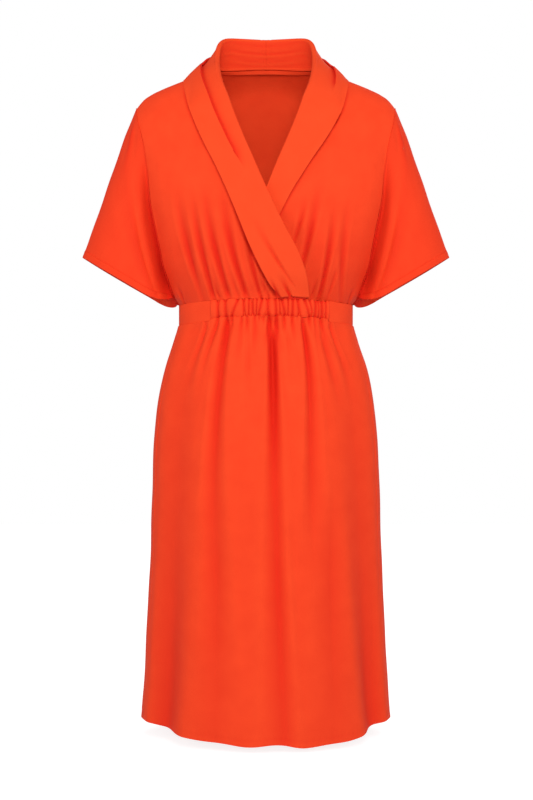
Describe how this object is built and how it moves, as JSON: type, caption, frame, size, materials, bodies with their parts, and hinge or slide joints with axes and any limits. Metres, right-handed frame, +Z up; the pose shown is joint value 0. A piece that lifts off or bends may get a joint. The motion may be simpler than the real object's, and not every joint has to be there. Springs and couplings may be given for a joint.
{
  "type": "a-line dress",
  "caption": "Orange-red A-line midi dress, filled out as worn: crossed front, shawl collar, wide short sleeves, ruched elastic waist and a gathered skirt.",
  "frame": {"origin": "on the centre plane, level with the inner ends of the shoulder seams and in the plane of the shoulder and side seams, where the wearer's shoulders and neck carry the dress", "axes": "+X to the wearer's left, -Y to the front, +Z up from hem to collar"},
  "size_m": [0.6044, 0.3006, 1.1525],
  "materials": {
    "crepe": "matt woven viscose crepe, dyed orange-red, with a faint soft sheen"
  },
  "bodies": {
    "root": {"front_right": "crepe", "front_left": "crepe", "back_bodice": "crepe", "sleeve_right": "crepe", "sleeve_left": "crepe", "collar_right": "crepe", "collar_left": "crepe", "neck_tape": "crepe", "waistband_front": "crepe", "waistband_back": "crepe", "skirt_front": "crepe", "skirt_back": "crepe"}
  },
  "joints": []
}
